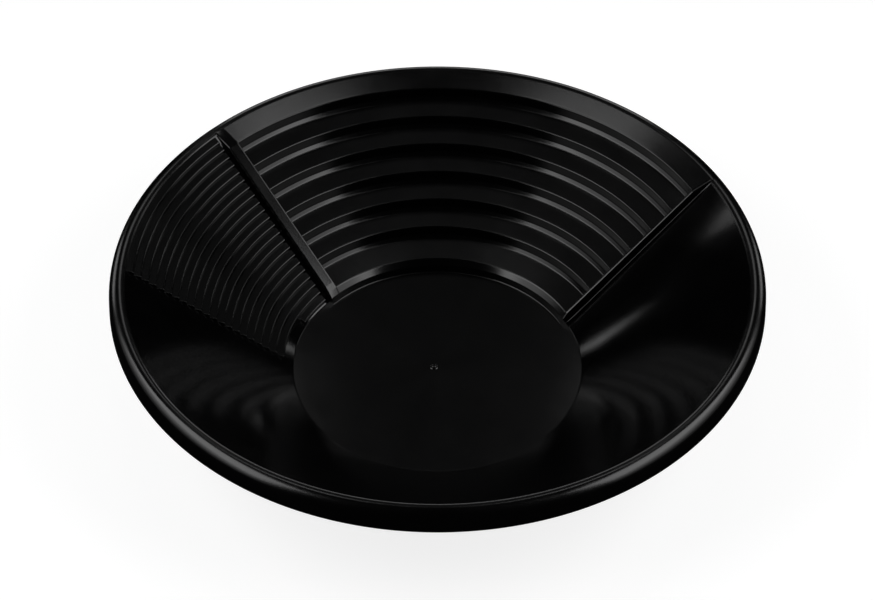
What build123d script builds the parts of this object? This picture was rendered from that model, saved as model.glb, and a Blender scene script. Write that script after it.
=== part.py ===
from build123d import *
import math
import os

# Gold pan: a round black plastic pan with coarse and fine riffles moulded in its sloping wall.
# The real pan is one injection moulding. It is divided here along its natural feature lines, so
# that each feature is a solid of its own and meets its neighbours face to face.
#
# Millimetres. The origin is the centre of the underside, +Z is up, and the axis of the pan is Z.
# Directions round the pan are degrees, anticlockwise from +X as seen from above.

# Driving dimensions
overall_diameter = 355.6
skin = 2.5                      # thickness of the floor and of the plain wall
floor_radius = 79.8             # where the plain wall meets the floor
mouth_radius = 170.6            # inner edge of the rim, which is also its highest line
bowl_depth = 70.0               # from the floor up to the inner edge of the rim
floor_disc_radius = 75.5        # the floor disc stops here, and the wall pieces start

# Rim: a rounded rim that turns over outwards from the mouth, with a short skirt below
rim_rounding = 7.0
rim_thickness = 2.8
skirt_height = 7.0              # it widens downwards to the overall diameter

# Coarse riffles: six deep steps and a last one that comes down to the floor
coarse_lip_count = 6
coarse_top_lip_radius = 158.35
coarse_top_lip_height = 65.8    # above the floor
coarse_pitch = 12.6             # from lip to lip, along the radius
riser_drop = 5.5                # upright face under a lip
ramp_run = 1.5                  # steep ramp from the foot of the riser to the tread
ramp_drop = 2.1
coarse_start_angle = 27.3
last_edge = (80.3, 6.7)         # radius, and height above the floor, of the last step's edge
last_bend = (77.8, 3.6)
last_foot = (76.5, 0.0)
end_rib_width = 2.0

# Divider bar between the coarse and the fine riffles
bar_angle = 135.0
bar_width = 6.2
bar_proud = 0.3                 # how far the bar stands above the lips of the coarse riffles

# Fine riffles: small steps that stand on the wall, from just under the rim down to the floor
fine_count = 22
fine_top_lip_radius = 164.6
fine_pitch = 4.0
fine_lip_rise = 2.1
fine_end_angle = 178.5
lowest_fine_end_angle = 156.0   # the one at the floor is short
fine_tip_gap = 1.6              # bare channel between the bar and the tips of the fine riffles

# Gate nub: the small round mark of the moulding gate on the floor
nub_radius = 2.3
nub_height = 1.0
nub_offset = -1.9

wall_slope = bowl_depth / (mouth_radius - floor_radius)
wall_angle = math.atan(wall_slope)
skin_drop = skin / math.cos(wall_angle)
outer_radius = overall_diameter / 2
coarse_step_drop = coarse_pitch * wall_slope
reach = overall_diameter        # larger than the pan, for the cutting blocks


def wall_height(radius):
    """Height of the plain wall's inner face at a radius."""
    return skin + wall_slope * (radius - floor_radius)


def wall_radius(height):
    """Radius at which the plain wall's inner face has a height."""
    return floor_radius + (height - skin) / wall_slope


def ring(corners, start=0.0, end=360.0):
    """Turn a section of (radius, height) corners about Z, from one direction to another."""
    section = make_face(Polyline(*corners, close=True))
    return Rot(0, 0, start) * revolve(Plane.XZ * section, axis=Axis.Z, revolution_arc=end - start)


def block(angle, low, high):
    """Upright block along a radius, between two distances to its anticlockwise side."""
    shape = Box(reach, high - low, reach, align=(Align.MIN, Align.MIN, Align.CENTER))
    return Rot(0, 0, angle) * Pos(0, low, 0) * shape


def floor_disc():
    return Cylinder(floor_disc_radius, skin, align=(Align.CENTER, Align.CENTER, Align.MIN))


def gate_nub():
    ball_radius = (nub_radius ** 2 + nub_height ** 2) / (2 * nub_height)
    ball = Pos(nub_offset, 0, skin + nub_height - ball_radius) * Sphere(ball_radius)
    above_floor = Box(reach, reach, reach, align=(Align.CENTER, Align.CENTER, Align.MIN))
    return ball & (Pos(0, 0, skin) * above_floor)


def wall_section(inner_face):
    """Corners of a wall with the plain outside, behind the corners of its inner face."""
    return inner_face + [
        (mouth_radius, wall_height(mouth_radius)),
        (mouth_radius, wall_height(mouth_radius) - skin_drop),
        (wall_radius(skin_drop), 0),
        (floor_disc_radius, 0),
        (floor_disc_radius, skin),
    ]


def smooth_wall():
    wall = ring(wall_section([(floor_radius, skin)]), fine_end_angle, 360 + coarse_start_angle)
    return wall - block(coarse_start_angle, -end_rib_width, reach)


def fine_wall():
    wall = ring(wall_section([(floor_radius, skin)]), bar_angle, fine_end_angle)
    return wall - block(bar_angle, -reach, bar_width)


def fine_riffle(number):
    """One small step, counted from the top; the top one runs out at the mouth."""
    lip = fine_top_lip_radius - fine_pitch * number
    above = mouth_radius if number == 0 else lip + fine_pitch
    corners = [
        (lip, wall_height(lip)),
        (lip, wall_height(lip) + fine_lip_rise),
        (above, wall_height(above)),
    ]
    is_lowest = number == fine_count - 1
    step = ring(corners, bar_angle, lowest_fine_end_angle if is_lowest else fine_end_angle)
    return step - block(bar_angle, -reach, bar_width + fine_tip_gap)


def coarse_lip(number):
    """Radius and height of a coarse lip, counted from the top."""
    radius = coarse_top_lip_radius - coarse_pitch * number
    return radius, skin + coarse_top_lip_height - coarse_step_drop * number


def on_floor(point):
    """Section point whose height was given above the floor."""
    return point[0], skin + point[1]


def behind(point):
    """Point on the outside of the stepped skin, behind a point on its inside."""
    return point[0] + skin * math.sin(wall_angle), point[1] - skin * math.cos(wall_angle)


def stepped_skin(inside):
    """Skin of even thickness behind the inside corners, over the whole coarse section."""
    outside = [behind(point) for point in reversed(inside)]
    return ring(inside + outside, coarse_start_angle, bar_angle)


def coarse_riffle(number):
    """Riser, ramp and tread below one lip, down to the next lip or to the last edge."""
    lip = coarse_lip(number)
    foot = (lip[0], lip[1] - riser_drop)
    toe = (foot[0] - ramp_run, foot[1] - ramp_drop)
    is_last = number == coarse_lip_count - 1
    tread_end = on_floor(last_edge) if is_last else coarse_lip(number + 1)
    return stepped_skin([lip, foot, toe, tread_end])


def lowest_coarse_riffle():
    """The last step, which comes down to the floor."""
    back = behind(on_floor(last_edge))
    corners = [
        on_floor(last_edge),
        on_floor(last_bend),
        on_floor(last_foot),
        (floor_disc_radius, skin),
        (floor_disc_radius, 0),
        (back[0] - skin, 0),
        back,
    ]
    return ring(corners, coarse_start_angle, bar_angle)


def coarse_collar():
    """Gentle slope from the mouth down to the top lip."""
    mouth = (mouth_radius, wall_height(mouth_radius))
    corners = [
        coarse_lip(0),
        mouth,
        (mouth_radius, mouth[1] - rim_thickness),
        behind(coarse_lip(0)),
    ]
    return ring(corners, coarse_start_angle, bar_angle)


def rib_face(proud):
    """Inner face of a rib that follows the lips of the coarse riffles."""
    edge = on_floor(last_edge)
    top_lip = coarse_lip(0)
    return [
        on_floor(last_foot),
        on_floor(last_bend),
        edge,
        (edge[0] + skin, edge[1] + skin * wall_slope + proud),
        (top_lip[0], top_lip[1] + proud),
    ]


def coarse_end_rib():
    rib = ring(wall_section(rib_face(0)), 0, coarse_start_angle)
    return rib & block(coarse_start_angle, -end_rib_width, 0)


def divider_bar():
    bar = ring(wall_section(rib_face(bar_proud)), bar_angle, fine_end_angle)
    return bar & block(bar_angle, 0, bar_width)


def rim_bead():
    """Quarter-round rim of even thickness, from the mouth over to the top of the skirt."""
    top = wall_height(mouth_radius)
    spring = top - rim_rounding
    under_rounding = rim_rounding - rim_thickness
    centre = (mouth_radius, spring)
    outer_side = (mouth_radius + rim_rounding, spring)
    inner_side = (mouth_radius + under_rounding, spring)
    section = make_face(
        [
            CenterArc(centre, rim_rounding, 0, 90),
            Line((mouth_radius, top), (mouth_radius, top - rim_thickness)),
            CenterArc(centre, under_rounding, 0, 90),
            Line(inner_side, outer_side),
        ]
    )
    return revolve(Plane.XZ * section, axis=Axis.Z)


def rim_skirt():
    top = wall_height(mouth_radius) - rim_rounding
    corners = [
        (mouth_radius + rim_rounding, top),
        (outer_radius, top - skirt_height),
        (outer_radius - rim_thickness, top - skirt_height),
        (mouth_radius + rim_rounding - rim_thickness, top),
    ]
    return ring(corners)


def all_nodes():
    """Every piece of the pan by name."""
    nodes = {
        "floor_disc": floor_disc(),
        "gate_nub": gate_nub(),
        "smooth_wall": smooth_wall(),
        "fine_wall": fine_wall(),
        "coarse_collar": coarse_collar(),
        "coarse_end_rib": coarse_end_rib(),
        "divider_bar": divider_bar(),
        "rim_bead": rim_bead(),
        "rim_skirt": rim_skirt(),
    }
    for number in range(coarse_lip_count):
        nodes[f"coarse_riffle_{number + 1}"] = coarse_riffle(number)
    nodes[f"coarse_riffle_{coarse_lip_count + 1}"] = lowest_coarse_riffle()
    for number in range(fine_count):
        nodes[f"fine_riffle_{number + 1:02d}"] = fine_riffle(number)
    return nodes


os.makedirs("parts", exist_ok=True)
for name, shape in all_nodes().items():
    export_step(shape, f"parts/{name}.step")
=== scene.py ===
import math

import bmesh
import bpy
from mathutils import Matrix, Vector


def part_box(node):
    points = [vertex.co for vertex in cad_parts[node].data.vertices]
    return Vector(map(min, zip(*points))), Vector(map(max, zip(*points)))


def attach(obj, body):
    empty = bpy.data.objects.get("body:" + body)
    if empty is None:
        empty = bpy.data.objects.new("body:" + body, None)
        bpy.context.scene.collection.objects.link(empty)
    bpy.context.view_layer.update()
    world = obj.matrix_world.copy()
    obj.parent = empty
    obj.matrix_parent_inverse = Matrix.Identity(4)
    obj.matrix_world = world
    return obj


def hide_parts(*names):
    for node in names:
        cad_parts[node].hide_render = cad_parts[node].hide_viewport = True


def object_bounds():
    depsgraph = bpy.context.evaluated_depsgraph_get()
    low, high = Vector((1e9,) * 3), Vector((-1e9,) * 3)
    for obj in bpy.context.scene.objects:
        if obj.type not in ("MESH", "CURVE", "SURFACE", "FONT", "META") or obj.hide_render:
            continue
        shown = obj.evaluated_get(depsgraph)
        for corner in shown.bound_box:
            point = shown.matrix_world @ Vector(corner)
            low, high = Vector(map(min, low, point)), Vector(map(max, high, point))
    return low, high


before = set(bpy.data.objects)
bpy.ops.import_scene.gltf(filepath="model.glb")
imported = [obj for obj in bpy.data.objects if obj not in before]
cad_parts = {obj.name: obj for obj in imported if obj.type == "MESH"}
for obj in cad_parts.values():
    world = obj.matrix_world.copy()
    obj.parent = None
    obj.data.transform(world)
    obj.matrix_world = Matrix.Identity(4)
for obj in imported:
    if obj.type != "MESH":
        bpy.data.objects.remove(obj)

# Gold pan: one injection moulding in black plastic, with coarse and fine riffles in its wall.
# Shapes are worked out in millimetres in the CAD's frame: the origin is the centre of the
# underside, Z is up, and directions round the pan are degrees, anticlockwise from +X.
# Every piece is a closed mesh that stands for one CAD node, with its small edge roundings added.

MM = 0.001
cad_low, cad_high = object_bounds()


def in_mm(length):
    """Length in the frame's metres, as millimetres to a tenth."""
    return round(length / MM, 1)


# Sizes read from the CAD
outer_radius = in_mm(cad_high.x)
mouth_height = in_mm(cad_high.z)
skin = in_mm(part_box("floor_disc")[1].z)
disc_radius = in_mm(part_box("floor_disc")[1].x)
spring_height = in_mm(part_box("rim_bead")[0].z)
skirt_top_radius = in_mm(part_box("rim_bead")[1].x)
skirt_bottom = in_mm(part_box("rim_skirt")[0].z)
top_lip_height = in_mm(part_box("coarse_riffle_1")[1].z)
nub_low, nub_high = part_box("gate_nub")
rim_rounding = mouth_height - spring_height
mouth_radius = skirt_top_radius - rim_rounding

# The other driving dimensions, as in the CAD
floor_radius = 79.8
rim_thickness = 2.8
coarse_lip_count = 6
coarse_top_lip_radius = 158.35
coarse_pitch = 12.6
riser_drop = 5.5
ramp_run = 1.5
ramp_drop = 2.1
coarse_start_angle = 27.3
last_edge = (80.3, 6.7)
last_bend = (77.8, 3.6)
last_foot = (76.5, 0.0)
end_rib_width = 2.0
bar_angle = 135.0
bar_width = 6.2
bar_proud = 0.3
fine_count = 22
fine_top_lip_radius = 164.6
fine_pitch = 4.0
fine_lip_rise = 2.1
fine_end_angle = 178.5
lowest_fine_end_angle = 156.0
fine_tip_gap = 1.6

wall_slope = (mouth_height - skin) / (mouth_radius - floor_radius)
wall_angle = math.atan(wall_slope)
skin_drop = skin / math.cos(wall_angle)

# Roundings of the moulding, which the CAD leaves sharp
mouth_rounding = 4.5
lip_rounding = 0.7
foot_rounding = 0.9
toe_rounding = 1.0
fine_lip_rounding = 0.8
fine_tip_rounding = 0.6
fine_end_rounding = 0.25
floor_fillet = 1.0
last_rounding = 1.2
last_foot_rounding = 0.6
rib_foot_rounding = 0.4
bar_rounding = 0.7
bar_fillet = 0.6
bar_lean = -0.68                # rise of the bar's face towards its fine side, where it is lower
rib_rounding = 0.8
rib_inner_rounding = 0.3        # on the side of the coarse riffles
rib_fillet = 0.8
skirt_rounding = 0.9
box_margin = 0.03               # keeps the skirt inside the box of the CAD's faceted rim

SUPPORT = 0.35                  # a flat run gets an extra point this far from each rounding
FAN_ANGLE = 8                   # beside a rib, the stations turn over this angle from radial to parallel
FAN_STEPS = 8
FINE_STATION = 2.5              # longest distance between the stations of a fine riffle
SUNK = 0.4                      # how deep a fine riffle's mesh stands in the wall
LONGEST_RUN = 7.0
ARC_SEGMENTS = 6
EDGE_SEGMENTS = 12
SHARP_ANGLE = math.radians(35)
TURN = 360.0
DEGREES_PER_STEP = 1.0
BUTT = 0.5                      # flat run past a lip, so that two pieces meet on a flat face


# Outlines: closed lists of (radius, height) points

def rounded_corner(before, corner, after, radius):
    """Points of the arc that takes a corner's place."""
    to_before = (before - corner).normalized()
    to_after = (after - corner).normalized()
    half = to_before.angle(to_after) / 2
    centre = corner + (to_before + to_after).normalized() * radius / math.sin(half)
    start = corner + to_before * radius / math.tan(half) - centre
    end = corner + to_after * radius / math.tan(half) - centre
    turn = math.atan2(start.cross(end), start.dot(end))
    steps = range(ARC_SEGMENTS + 1)
    return [centre + Matrix.Rotation(turn * step / ARC_SEGMENTS, 2) @ start for step in steps]


def straight_run(start, end):
    """Points between two others, so that shading stays flat along the run."""
    length = (end - start).length
    if length < 3 * SUPPORT:
        return []
    inner = length - 2 * SUPPORT
    count = max(1, math.ceil(inner / LONGEST_RUN))
    places = [SUPPORT + inner * step / count for step in range(count + 1)]
    return [start.lerp(end, place / length) for place in places]


def outline(*corners):
    """Closed outline through (radius, height, rounding) corners. The rounding may be left out."""
    points = [Vector(corner[:2]) for corner in corners]
    roundings = [corner[2] if len(corner) > 2 else 0 for corner in corners]
    arcs = []
    for place, point in enumerate(points):
        after = points[(place + 1) % len(points)]
        arc = [point]
        if roundings[place]:
            arc = rounded_corner(points[place - 1], point, after, roundings[place])
        arcs.append(arc)
    closed = []
    for place, arc in enumerate(arcs):
        closed += arc + straight_run(arc[-1], arcs[(place + 1) % len(arcs)][0])
    return closed


def wall_height(radius):
    """Height of the plain wall's inner face at a radius."""
    return skin + wall_slope * (radius - floor_radius)


def wall_radius(height):
    return floor_radius + (height - skin) / wall_slope


def on_floor(point):
    """Point whose height was given above the floor."""
    return point[0], skin + point[1]


def behind(point):
    """Point on the outside of an even skin, behind a point on its inside."""
    return point[0] + skin * math.sin(wall_angle), point[1] - skin * math.cos(wall_angle)


def coarse_lip(number):
    """Radius and height of a coarse lip, counted from the top."""
    drop = coarse_pitch * wall_slope * number
    return coarse_top_lip_radius - coarse_pitch * number, top_lip_height - drop


# Meshes

def loft(name, rings, wrap=False):
    """Closed mesh through rings of points in millimetres. Without wrap, flat caps close its ends."""
    count = len(rings[0])
    vertices = [Vector(point) * MM for ring in rings for point in ring]
    faces = []
    for ring in range(len(rings) if wrap else len(rings) - 1):
        here = ring * count
        there = (ring + 1) % len(rings) * count
        for place in range(count):
            after = (place + 1) % count
            faces.append((here + place, there + place, there + after, here + after))
    if not wrap:
        faces.append(tuple(reversed(range(count))))
        faces.append(tuple(range(len(vertices) - count, len(vertices))))
    mesh = bpy.data.meshes.new(name)
    mesh.from_pydata(vertices, [], faces)
    return finished(mesh)


def finished(mesh):
    """Merges doubled points, turns the faces outwards and sets smooth shading with sharp edges."""
    solid = bmesh.new()
    solid.from_mesh(mesh)
    bmesh.ops.remove_doubles(solid, verts=solid.verts, dist=1e-7)
    bmesh.ops.dissolve_degenerate(solid, edges=solid.edges, dist=1e-7)
    bmesh.ops.recalc_face_normals(solid, faces=solid.faces)
    for face in solid.faces:
        face.smooth = len(face.verts) <= 4
    for edge in solid.edges:
        beside_cap = any(not face.smooth for face in edge.link_faces)
        edge.smooth = not beside_cap and edge.calc_face_angle(0.0) < SHARP_ANGLE
    solid.to_mesh(mesh)
    solid.free()
    return mesh


def beside(angle, distance):
    """Direction, for each radius, of a line that runs beside a radial line, anticlockwise of it."""
    return lambda radius: angle + math.degrees(math.asin(distance / radius))


def steady(angle):
    """The same direction for each radius."""
    return lambda radius: angle


def fan(first, last, count):
    """Directions that turn step by step from one to another, without those two."""
    shares = [step / count for step in range(1, count)]
    return [
        lambda radius, share=share: (1 - share) * first(radius) + share * last(radius)
        for share in shares
    ]


def ring_at(section, direction):
    """The section's points in space, each in the direction for its radius."""
    ring = []
    for radius, height in section:
        angle = math.radians(direction(max(radius, 1.0)))
        ring.append((radius * math.cos(angle), radius * math.sin(angle), height))
    return ring


def between(start, end):
    """Directions from one angle to another, a step apart."""
    count = math.ceil((end - start) / DEGREES_PER_STEP)
    return [start + (end - start) * step / count for step in range(count + 1)]


def quarter_round(radius, segments=ARC_SEGMENTS):
    """(distance from the side, drop from the face) of the stations across a rounded edge."""
    turns = [math.pi / 2 * step / segments for step in range(segments + 1)]
    return [(radius * (1 - math.cos(turn)), radius * (1 - math.sin(turn))) for turn in turns]


def raised(section, face_line, amount):
    """The section with the points of its inner face moved by an amount along the wall's normal."""
    moved = []
    for radius, height in section:
        share = face_line(radius, height)
        shift = amount * share
        moved.append((radius - shift * math.sin(wall_angle), height + shift * math.cos(wall_angle)))
    return moved


def make_piece(mesh, material, *nodes):
    """Puts a mesh in the scene in the place of its CAD nodes."""
    piece = bpy.data.objects.new(mesh.name, mesh)
    bpy.context.scene.collection.objects.link(piece)
    mesh.materials.append(material)
    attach(piece, "root")
    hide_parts(*nodes)
    return piece


# Sections

def arc_points(centre, first, turn, radius, segments):
    """Points of an arc that starts in a direction from its centre."""
    turns = [turn * step / segments for step in range(segments + 1)]
    return [centre + Matrix.Rotation(angle, 2) @ first * radius for angle in turns]


def top_edge(slope):
    """Arc from a face that rises to the mouth at a slope, over its edge, onto the rim's round."""
    sine = math.sin(slope)
    cosine = math.cos(slope)
    spare = 2 * rim_rounding * mouth_rounding * (1 - cosine)
    back = rim_rounding * sine - math.sqrt((rim_rounding * sine) ** 2 - spare)
    start = Vector((mouth_radius, mouth_height)) - Vector((cosine, sine)) * back
    centre = start + Vector((sine, -cosine)) * mouth_rounding
    last = (centre - rim_centre).normalized()
    first = (start - centre).normalized()
    turn = math.atan2(first.cross(last), first.dot(last))
    return arc_points(centre, first, turn, mouth_rounding, EDGE_SEGMENTS)


def over_rim(start, end):
    """Points of the rim's round between two of its points, without the first."""
    first = (start - rim_centre).normalized()
    last = (end - rim_centre).normalized()
    turn = math.atan2(first.cross(last), first.dot(last))
    segments = math.ceil(abs(turn) / math.radians(5))
    return arc_points(rim_centre, first, turn, rim_rounding, segments)[1:]


rim_centre = Vector((mouth_radius, spring_height))
wall_edge = top_edge(wall_angle)
wall_top = wall_edge[0] - Vector((math.cos(wall_angle), math.sin(wall_angle))) * SUPPORT


def plain_wall_section():
    """The plain wall, with a fillet where it meets the floor."""
    return outline(
        (disc_radius, skin),
        (floor_radius, skin, floor_fillet),
        tuple(wall_top),
        (mouth_radius, mouth_height - rim_thickness),
        (mouth_radius, mouth_height - skin_drop),
        (wall_radius(skin_drop), 0, 2 * skin),
        (disc_radius, 0),
    )


def on_plain_face(radius, height):
    """1 for a point on the plain wall's inner face, 0 for one behind it or on the floor."""
    clear_of_floor = height > skin + 0.5 * floor_fillet
    return 1.0 if clear_of_floor and height > wall_height(radius) - 0.5 * skin else 0.0


def rim_section():
    """Quarter-round rim of even thickness, with the mouth's rounded edge."""
    outer_side = Vector((skirt_top_radius, spring_height))
    inner_side = (rim_rounding - rim_thickness) / rim_rounding
    crest = over_rim(wall_edge[-1], outer_side)
    top = Vector((mouth_radius, mouth_height))
    round_top = [top] + over_rim(top, outer_side)
    under = [rim_centre + (point - rim_centre) * inner_side for point in reversed(round_top)]
    return [wall_top] + wall_edge + crest + under


def skirt_section():
    return outline(
        (skirt_top_radius, spring_height),
        (outer_radius - box_margin, skirt_bottom, skirt_rounding),
        (outer_radius - rim_thickness, skirt_bottom, skirt_rounding),
        (skirt_top_radius - rim_thickness, spring_height),
    )


def tread_butt(number):
    """Point a little up the slope above a lip, where two pieces meet."""
    lip = Vector(coarse_lip(number))
    above = Vector(coarse_toe(number - 1)) if number else Vector((mouth_radius, mouth_height))
    reach = lip_rounding + SUPPORT + BUTT
    return lip + (above - lip).normalized() * reach


def coarse_foot(number):
    lip = coarse_lip(number)
    return lip[0], lip[1] - riser_drop


def coarse_toe(number):
    foot = coarse_foot(number)
    return foot[0] - ramp_run, foot[1] - ramp_drop


def coarse_section(number):
    """Lip, riser, ramp and tread, as a skin of even thickness."""
    start = tread_butt(number)
    lip = coarse_lip(number)
    foot = coarse_foot(number)
    toe = coarse_toe(number)
    if number < coarse_lip_count - 1:
        end = tread_butt(number + 1)
    else:
        edge = Vector(on_floor(last_edge))
        end = edge + (Vector(toe) - edge).normalized() * (last_rounding + BUTT)
    return outline(
        tuple(start),
        (*lip, lip_rounding),
        (*foot, foot_rounding),
        (*toe, toe_rounding),
        tuple(end),
        behind(end),
        (*behind(toe), lip_rounding),
        (*behind(foot), foot_rounding),
        (*behind(lip), toe_rounding),
        behind(start),
    )


def lowest_section():
    """The last step, which comes down to the floor."""
    toe = Vector(coarse_toe(coarse_lip_count - 1))
    edge = Vector(on_floor(last_edge))
    start = edge + (toe - edge).normalized() * (last_rounding + BUTT)
    back = behind(on_floor(last_edge))
    return outline(
        tuple(start),
        (*edge, last_rounding),
        (*on_floor(last_bend), last_rounding),
        (*on_floor(last_foot), last_foot_rounding),
        (disc_radius, skin),
        (disc_radius, 0),
        (back[0] - skin, 0, skin),
        (*back, last_rounding),
        behind(start),
    )


def down_to_wall(height):
    """Closing points under the rim, from the last point of an edge that covers the rim's."""
    return [(wall_edge[-1].x, height), (mouth_radius, height)]


def collar_section():
    """Gentle slope from the top lip up to the rim, with the mouth's rounded edge."""
    start = tread_butt(0)
    lip = Vector(coarse_lip(0))
    rise = Vector((mouth_radius, mouth_height)) - lip
    edge = top_edge(math.atan2(rise.y, rise.x))
    under = mouth_height - rim_thickness
    face = [start] + straight_run(start, edge[0]) + edge + over_rim(edge[-1], wall_edge[-1])
    return face + [Vector(point) for point in down_to_wall(under)] + [Vector(behind(start))]


def rib_section(proud):
    """A rib that follows the lips of the coarse riffles up to the rim."""
    floor_end = on_floor(last_edge)
    start = Vector((floor_end[0] + skin, floor_end[1] + skin * wall_slope + proud))
    lip = Vector(coarse_lip(0)) + Vector((0, proud))
    rise = Vector((mouth_radius, mouth_height)) - lip
    edge = top_edge(math.atan2(rise.y, rise.x))
    foot = outline(
        (disc_radius, skin),
        (*on_floor(last_foot), rib_foot_rounding),
        (*on_floor(last_bend), last_rounding),
        (*floor_end, last_rounding),
        tuple(start),
        tuple(lip),
        tuple(edge[0]),
        (disc_radius, 0),
    )
    face = foot[:foot.index(edge[0])] + edge + over_rim(edge[-1], wall_edge[-1])
    back = [
        Vector((wall_edge[-1].x, mouth_height - rim_thickness)),
        Vector((mouth_radius, mouth_height - rim_thickness)),
        Vector((mouth_radius, mouth_height - skin_drop)),
        Vector((wall_radius(skin_drop), 0)),
        Vector((disc_radius, 0)),
    ]
    return face + back


def on_rib_face(radius, height):
    """1 for a point on a rib's inner face, fading to 0 on the floor and at the mouth."""
    if height < wall_height(radius) - 0.2 * skin:
        return 0.0
    from_floor = (radius - last_foot[0]) / (last_edge[0] - last_foot[0])
    from_mouth = (mouth_radius - radius) / rim_thickness
    return max(0.0, min(1.0, from_floor, from_mouth))


def fine_section(number):
    """One small step, which is sunk a little into the wall that it stands on."""
    lip = fine_top_lip_radius - fine_pitch * number
    above = min(lip + fine_pitch, wall_top.x) if number else wall_top.x
    return outline(
        (lip, wall_height(lip) - SUNK),
        (lip, wall_height(lip) + fine_lip_rise, fine_lip_rounding),
        (above, wall_height(above)),
        (above, wall_height(above) - SUNK),
    )


# Pieces

def floor_disc(material):
    section = outline((0, skin), (disc_radius, skin), (disc_radius, 0), (0, 0))
    rings = [ring_at(section, steady(angle)) for angle in between(0, TURN)[:-1]]
    make_piece(loft("floor", rings, wrap=True), material, "floor_disc")


def gate_mark(material):
    """The round mark of the moulding gate: a low dome in a shallow ring."""
    centre = (nub_low + nub_high) / 2 / MM
    radius = (nub_high.x - nub_low.x) / 2 / MM
    height = (nub_high.z - nub_low.z) / MM
    dome = 0.62 * radius
    section = [(0, skin + height), (0.25 * radius, skin + height)]
    for step in range(1, 7):
        turn = math.pi / 2 * step / 6
        place = 0.25 * radius + (dome - 0.25 * radius) * math.sin(turn)
        section.append((place, skin + 0.12 + (height - 0.12) * math.cos(turn)))
    section += [
        (0.72 * radius, skin + 0.1),
        (0.86 * radius, skin + 0.22),
        (radius, skin),
        (radius, skin - 0.3),
        (0, skin - 0.3),
    ]
    rings = []
    for angle in between(0, TURN)[:-1:6]:
        ring = ring_at(section, steady(angle))
        rings.append([(x + centre.x, y + centre.y, z) for x, y, z in ring])
    make_piece(loft("gate_mark", rings, wrap=True), material, "gate_nub")


def smooth_wall(material):
    """The plain wall, which curves up to the side of the end rib."""
    section = plain_wall_section()
    end = coarse_start_angle + TURN
    rings = [ring_at(section, steady(angle)) for angle in between(fine_end_angle, end - FAN_ANGLE)]
    fillet_side = beside(end, -end_rib_width - rib_fillet - SUPPORT)
    turning = fan(steady(end - FAN_ANGLE), fillet_side, FAN_STEPS)
    rings += [ring_at(section, direction) for direction in turning]
    rings.append(ring_at(section, fillet_side))
    for distance, drop in reversed(quarter_round(rib_fillet)):
        curved = raised(section, fillet_share, drop)
        rings.append(ring_at(curved, beside(end, -end_rib_width - distance)))
    make_piece(loft("smooth_wall_moulding", rings), material, "smooth_wall")


def fillet_share(radius, height):
    """Share of the fillet beside a rib: full on the wall, fading towards the floor and the mouth."""
    from_mouth = (mouth_radius - radius) / (2 * rib_fillet)
    return on_plain_face(radius, height) * max(0.0, min(1.0, from_mouth))


def fine_wall(material):
    """The wall under the fine riffles, which curves up to the side of the divider bar."""
    section = plain_wall_section()
    rings = []
    for distance, drop in quarter_round(bar_fillet):
        curved = raised(section, fillet_share, drop)
        rings.append(ring_at(curved, beside(bar_angle, bar_width + distance)))
    fillet_side = beside(bar_angle, bar_width + bar_fillet + SUPPORT)
    start = bar_angle + FAN_ANGLE
    rings.append(ring_at(section, fillet_side))
    rings += [ring_at(section, direction) for direction in fan(fillet_side, steady(start), FAN_STEPS)]
    rings += [ring_at(section, steady(angle)) for angle in between(start, fine_end_angle)]
    make_piece(loft("fine_wall_moulding", rings), material, "fine_wall")


def fine_riffle(number, material):
    """A small step with a rounded tip beside the bar and a square end on the plain wall."""
    section = fine_section(number)
    lip = fine_top_lip_radius - fine_pitch * number
    first = bar_width + fine_tip_gap
    start = first + fine_tip_rounding
    end_angle = lowest_fine_end_angle if number == fine_count - 1 else fine_end_angle
    stop = math.radians(end_angle - bar_angle) * lip - fine_end_rounding
    count = math.ceil((stop - start) / FINE_STATION)
    tip = quarter_round(fine_tip_rounding)
    stations = [(first + aside, 1 - drop / fine_tip_rounding) for aside, drop in tip]
    stations.append((start + SUPPORT, 1.0))
    stations += [(start + (stop - start) * step / count, 1.0) for step in range(1, count)]
    stations += [(stop - SUPPORT, 1.0), (stop, 1.0)]
    last = stop + fine_end_rounding
    for aside, drop in reversed(quarter_round(fine_end_rounding, 3)):
        stations.append((last - aside, 1 - drop / fine_lip_rise))
    rings = []
    for distance, share in stations:
        scaled = []
        for radius, height in section:
            above = max(0.0, height - wall_height(radius))
            scaled.append((radius, height - above * (1 - max(share, 0.02))))
        near_bar = beside(bar_angle, distance)
        by_angle = bar_angle + math.degrees(distance / lip)
        direction = near_bar if distance < start + 0.01 else steady(by_angle)
        rings.append(ring_at(scaled, direction))
    name = f"fine_riffle_{number + 1:02d}"
    make_piece(loft(name + "_moulding", rings), material, name)


def coarse_riffle(number, material):
    section = coarse_section(number)
    rings = [ring_at(section, steady(angle)) for angle in between(coarse_start_angle, bar_angle)]
    name = f"coarse_riffle_{number + 1}"
    make_piece(loft(name + "_moulding", rings), material, name)


def lowest_riffle(material):
    section = lowest_section()
    rings = [ring_at(section, steady(angle)) for angle in between(coarse_start_angle, bar_angle)]
    name = f"coarse_riffle_{coarse_lip_count + 1}"
    make_piece(loft(name + "_moulding", rings), material, name)


def coarse_collar(material):
    section = collar_section()
    rings = [ring_at(section, steady(angle)) for angle in between(coarse_start_angle, bar_angle)]
    make_piece(loft("coarse_collar_moulding", rings), material, "coarse_collar")


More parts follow.
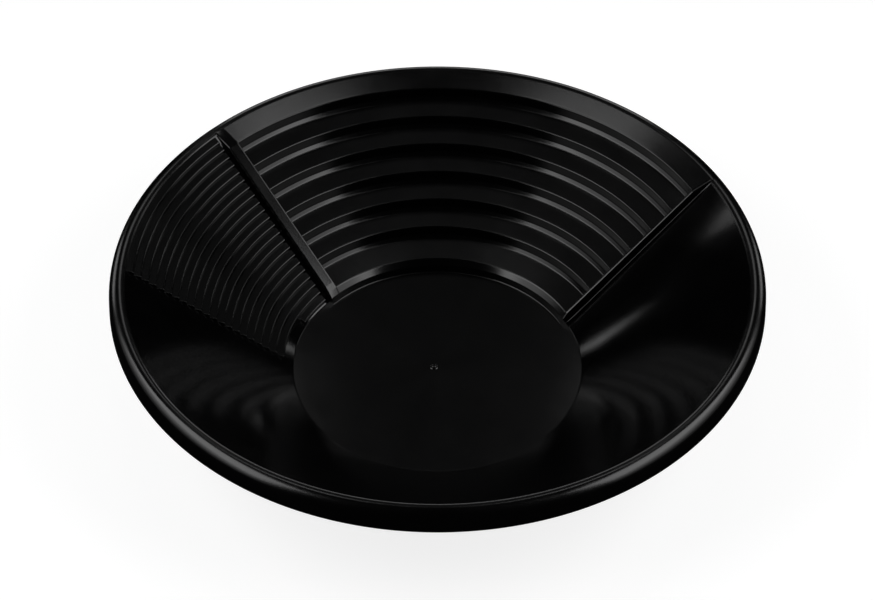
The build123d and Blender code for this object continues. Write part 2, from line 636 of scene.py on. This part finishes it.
def rib_rings(section, angle, low, high, low_rounding, high_rounding, lean=0.0):
    """Stations across a rib from its clockwise side to its other side, with rounded edges."""
    stations = [(low + distance, drop) for distance, drop in quarter_round(low_rounding)]
    flat = (low + low_rounding + SUPPORT, high - high_rounding - SUPPORT)
    if flat[0] < flat[1]:
        stations += [(place, 0.0) for place in flat]
    stations += [(high - distance, drop) for distance, drop in reversed(quarter_round(high_rounding))]
    rings = []
    for place, drop in stations:
        tilt = lean * (2 * (place - low) / (high - low) - 1)
        rings.append(ring_at(raised(section, on_rib_face, tilt - drop), beside(angle, place)))
    return rings


def coarse_end_rib(material):
    section = rib_section(0)
    rings = rib_rings(section, coarse_start_angle, -end_rib_width, 0.0, rib_rounding, rib_inner_rounding)
    make_piece(loft("coarse_end_rib_moulding", rings), material, "coarse_end_rib")


def divider_bar(material):
    section = rib_section(bar_proud)
    rings = rib_rings(section, bar_angle, 0.0, bar_width, bar_rounding, bar_rounding, bar_lean)
    make_piece(loft("divider_bar_moulding", rings), material, "divider_bar")


def rim_bead(material):
    section = rim_section()
    rings = [ring_at(section, steady(angle)) for angle in between(0, TURN)[:-1]]
    make_piece(loft("rim_bead_moulding", rings, wrap=True), material, "rim_bead")


def rim_skirt(material):
    section = skirt_section()
    rings = [ring_at(section, steady(angle)) for angle in between(0, TURN)[:-1]]
    make_piece(loft("rim_skirt_moulding", rings, wrap=True), material, "rim_skirt")


# Materials

def node(tree, kind, **values):
    made = tree.nodes.new(kind)
    for name, value in values.items():
        setattr(made, name, value)
    return made


def noise(tree, coordinates, scale, detail, roughness=0.5):
    made = node(tree, "ShaderNodeTexNoise")
    made.inputs["Scale"].default_value = scale
    made.inputs["Detail"].default_value = detail
    made.inputs["Roughness"].default_value = roughness
    tree.links.new(coordinates, made.inputs["Vector"])
    return made.outputs["Fac"]


def spread(tree, value, low, high, to_low, to_high):
    """Maps a value from one range to another, and holds it inside."""
    made = node(tree, "ShaderNodeMapRange", clamp=True)
    for socket, number in zip(("From Min", "From Max", "To Min", "To Max"), (low, high, to_low, to_high)):
        made.inputs[socket].default_value = number
    tree.links.new(value, made.inputs["Value"])
    return made.outputs["Result"]


def combine(tree, operation, first, second):
    made = node(tree, "ShaderNodeMath", operation=operation)
    for socket, value in zip(made.inputs, (first, second)):
        if isinstance(value, (int, float)):
            socket.default_value = value
        else:
            tree.links.new(value, socket)
    return made.outputs["Value"]


def bump(tree, height, strength, distance, normal=None):
    made = node(tree, "ShaderNodeBump")
    made.inputs["Strength"].default_value = strength
    made.inputs["Distance"].default_value = distance
    tree.links.new(height, made.inputs["Height"])
    if normal:
        tree.links.new(normal, made.inputs["Normal"])
    return made.outputs["Normal"]


def radial_coordinates(tree, position, along):
    """Coordinates that vary quickly round the pan and slowly along its radii, with no seam."""
    flat = node(tree, "ShaderNodeVectorMath", operation="MULTIPLY")
    flat.inputs[1].default_value = (1, 1, 0)
    tree.links.new(position, flat.inputs[0])
    direction = node(tree, "ShaderNodeVectorMath", operation="NORMALIZE")
    tree.links.new(flat.outputs["Vector"], direction.inputs[0])
    length = node(tree, "ShaderNodeVectorMath", operation="LENGTH")
    tree.links.new(flat.outputs["Vector"], length.inputs[0])
    lift = node(tree, "ShaderNodeCombineXYZ")
    tree.links.new(combine(tree, "MULTIPLY", length.outputs["Value"], along), lift.inputs["Z"])
    together = node(tree, "ShaderNodeVectorMath", operation="ADD")
    tree.links.new(direction.outputs["Vector"], together.inputs[0])
    tree.links.new(lift.outputs["Vector"], together.inputs[1])
    return together.outputs["Vector"]


def moulded_plastic(name, roughness, level_roughness, waviness, streaks):
    """Black moulded plastic with fine grain, sink marks, smudges and faint radial flow marks.

    Level faces have a roughness of their own, for their duller texture."""
    material = bpy.data.materials.new(name)
    material.use_nodes = True
    tree = material.node_tree
    shader = tree.nodes["Principled BSDF"]
    place = node(tree, "ShaderNodeTexCoord")
    position = place.outputs["Object"]
    radial = radial_coordinates(tree, position, 1.4)
    normal = node(tree, "ShaderNodeSeparateXYZ")
    tree.links.new(place.outputs["Normal"], normal.inputs["Vector"])

    tint = node(tree, "ShaderNodeValToRGB")
    tint.color_ramp.elements[0].position = 0.3
    tint.color_ramp.elements[0].color = (0.0004, 0.0004, 0.00045, 1)
    tint.color_ramp.elements[1].position = 0.75
    tint.color_ramp.elements[1].color = (0.0010, 0.0010, 0.0011, 1)
    tree.links.new(noise(tree, position, 55, 5), tint.inputs["Fac"])
    tree.links.new(tint.outputs["Color"], shader.inputs["Base Color"])

    flow = noise(tree, radial, 26, 4, 0.65)
    smudges = noise(tree, position, 38, 6, 0.6)
    level = spread(tree, normal.outputs["Z"], 0.955, 0.985, roughness, level_roughness)
    wear = spread(tree, smudges, 0.35, 0.75, 0.9, 1.2)
    marks = spread(tree, flow, 0.35, 0.7, -streaks, streaks)
    worn = combine(tree, "MULTIPLY", level, wear)
    tree.links.new(combine(tree, "ADD", worn, marks), shader.inputs["Roughness"])

    sink = bump(tree, noise(tree, position, 22, 2), waviness, 0.004)
    drawn = bump(tree, flow, streaks, 0.0006, sink)
    grain = bump(tree, noise(tree, position, 1500, 3), 0.10, 0.00012, drawn)
    tree.links.new(grain, shader.inputs["Normal"])
    shader.inputs["IOR"].default_value = 1.49
    shader.inputs["Specular IOR Level"].default_value = 0.5
    return material


def floor_material():
    """Pale studio floor, which keeps a trace of the soft shadow."""
    material = bpy.data.materials.new("studio_white")
    material.use_nodes = True
    tree = material.node_tree
    shader = tree.nodes["Principled BSDF"]
    shader.inputs["Base Color"].default_value = (0.35, 0.35, 0.35, 1)
    shader.inputs["Roughness"].default_value = 1.0
    shader.inputs["Specular IOR Level"].default_value = 0.0
    shader.inputs["Emission Color"].default_value = (1, 1, 1, 1)
    shader.inputs["Emission Strength"].default_value = 0.82
    return material


# Studio

def studio_floor():
    size = 30.0
    corners = [(-size, -size, 0), (size, -size, 0), (size, size, 0), (-size, size, 0)]
    mesh = bpy.data.meshes.new("studio_floor")
    mesh.from_pydata(corners, [], [(0, 1, 2, 3)])
    mesh.materials.append(floor_material())
    floor = bpy.data.objects.new("studio_floor", mesh)
    bpy.context.scene.collection.objects.link(floor)
    floor.visible_glossy = False        # the pan doesn't mirror it
    gap = 0.0002
    floor.location.z = cad_low.z - gap


def softbox(name, centre, facing, width, height, radiance):
    """Area light of that size in metres, which faces along a direction."""
    light = bpy.data.lights.new(name, "AREA")
    light.shape = "RECTANGLE"
    light.size = width
    light.size_y = height
    light.energy = radiance * math.pi * width * height
    lamp = bpy.data.objects.new(name, light)
    lamp.location = centre
    lamp.rotation_euler = Vector(facing).to_track_quat("-Z", "Y").to_euler()
    lamp.visible_camera = False
    bpy.context.scene.collection.objects.link(lamp)


def side_softboxes():
    """A tall bank on each side of the pan, which fades towards its foot."""
    across = 0.67
    bands = ((0.09, 0.20, 0.25), (0.20, 0.28, 0.7), (0.28, 0.42, 1.4), (0.42, 1.15, 3.0))
    for side, name in ((-1, "left"), (1, "right")):
        for number, (low, high, radiance) in enumerate(bands, 1):
            centre = (side * across, -0.13, (low + high) / 2)
            softbox(f"{name}_bank_{number}", centre, (-side, 0, 0), 0.86, high - low, radiance)


def back_lights():
    """Backdrops behind and above the pan, and on each side a small panel, a low wing and a high panel."""
    softbox("backdrop", (0, 1.6, 0.28), (0, -1, 0), 1.0, 0.56, 0.9)
    softbox("upper_backdrop", (0, 1.2, 1.5), (0, -1, -1), 1.6, 1.5, 0.045)
    for side, name in ((-1, "left"), (1, "right")):
        softbox(f"{name}_haze", (side * 0.165, 0.28, 0.335), (0, -1, 0), 0.11, 0.13, 1.2)
        softbox(f"{name}_wing", (side * 0.73, 0.58, 0.21), (0, -1, 0), 0.34, 0.24, 1.5)
        centre = Vector((side * 0.235, 0.42, 1.09))
        softbox(f"{name}_panel", centre, -centre, 0.17, 0.24, 2.0)


def world_light():
    """Nearly black surroundings, so that the dark plastic shows only the lights."""
    world = bpy.data.worlds.new("studio")
    bpy.context.scene.world = world
    world.use_nodes = True
    background = world.node_tree.nodes["Background"]
    background.inputs["Color"].default_value = (0.004, 0.004, 0.004, 1)
    background.inputs["Strength"].default_value = 1.0


def studio_camera():
    elevation = math.radians(44.15)
    distance = 2.196
    target = Vector((0, 0, 0.0289))
    rise = 0.0177
    across = Vector((0, -math.cos(elevation), math.sin(elevation)))
    up = Vector((0, math.sin(elevation), math.cos(elevation)))
    camera = bpy.data.cameras.new("camera")
    camera.lens = 165.0
    camera.sensor_width = 36.0
    camera.clip_start = 0.1
    camera.clip_end = 100.0
    view = bpy.data.objects.new("camera", camera)
    view.location = target + across * distance
    aim = target + up * rise
    view.rotation_euler = (aim - view.location).to_track_quat("-Z", "Y").to_euler()
    bpy.context.scene.collection.objects.link(view)
    bpy.context.scene.camera = view
    bpy.context.scene.view_settings.view_transform = "Standard"


def build_pan():
    wall_plastic = moulded_plastic("wall_plastic", 0.10, 0.20, 0.02, 0.01)
    riffle_plastic = moulded_plastic("riffle_plastic", 0.15, 0.20, 0.01, 0.0)
    rim_plastic = moulded_plastic("rim_plastic", 0.20, 0.20, 0.01, 0.01)
    floor_disc(riffle_plastic)
    gate_mark(riffle_plastic)
    smooth_wall(wall_plastic)
    fine_wall(wall_plastic)
    for number in range(fine_count):
        fine_riffle(number, riffle_plastic)
    coarse_collar(riffle_plastic)
    for number in range(coarse_lip_count):
        coarse_riffle(number, riffle_plastic)
    lowest_riffle(riffle_plastic)
    coarse_end_rib(riffle_plastic)
    divider_bar(riffle_plastic)
    rim_bead(rim_plastic)
    rim_skirt(rim_plastic)


build_pan()
studio_floor()
world_light()
side_softboxes()
back_lights()
studio_camera()

bpy.context.view_layer.update()
